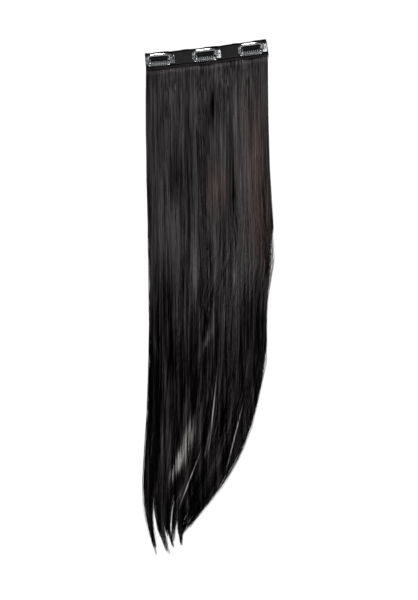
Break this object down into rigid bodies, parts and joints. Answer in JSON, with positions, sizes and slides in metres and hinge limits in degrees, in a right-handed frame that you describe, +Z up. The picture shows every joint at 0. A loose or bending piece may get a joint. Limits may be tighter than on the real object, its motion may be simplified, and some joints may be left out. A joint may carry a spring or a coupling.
{
  "type": "clip-in hair extension weft",
  "caption": "Straight black clip-in hair extension: a flat weft of long locks on a hemmed cloth band, with metal snap combs sewn along the band.",
  "frame": {"origin": "on the surface the piece lies on, under the middle of the band's back", "axes": "+X to the right along the band, +Y up the piece from the hair's tips to the band, +Z up off the surface"},
  "size_m": [0.1456, 0.5782, 0.0089],
  "materials": {
    "hair": "straight black fibre with a soft grey sheen",
    "tape": "woven black cloth tape, hemmed on both long edges",
    "steel": "pressed and tumbled bright steel",
    "silicone": "black moulded silicone tube, satin"
  },
  "bodies": {
    "weft": {"hair_weft": "hair", "cloth_tape": "tape", "clip_1_frame": "steel", "clip_1_pin": "steel", "clip_2_frame": "steel", "clip_2_pin": "steel", "clip_3_frame": "steel", "clip_3_pin": "steel"},
    "clip_1_lever": {"clip_1_comb": "steel", "clip_1_sleeve": "silicone"},
    "clip_2_lever": {"clip_2_comb": "steel", "clip_2_sleeve": "silicone"},
    "clip_3_lever": {"clip_3_comb": "steel", "clip_3_sleeve": "silicone"}
  },
  "joints": [
    {"name": "clip_1_snap", "type": "hinge", "parent": "weft", "child": "clip_1_lever", "pos_m": [-0.03917, -0.00424, 0.00615], "axis": [-0.0902, 0.9959, 0], "range_deg": [0, 35]},
    {"name": "clip_2_snap", "type": "hinge", "parent": "weft", "child": "clip_2_lever", "pos_m": [0.01202, 0.00141, 0.00615], "axis": [-0.1167, 0.9932, 0], "range_deg": [0, 35]},
    {"name": "clip_3_snap", "type": "hinge", "parent": "weft", "child": "clip_3_lever", "pos_m": [0.06304, 0.00842, 0.00615], "axis": [-0.143, 0.9897, 0], "range_deg": [0, 35]}
  ]
}
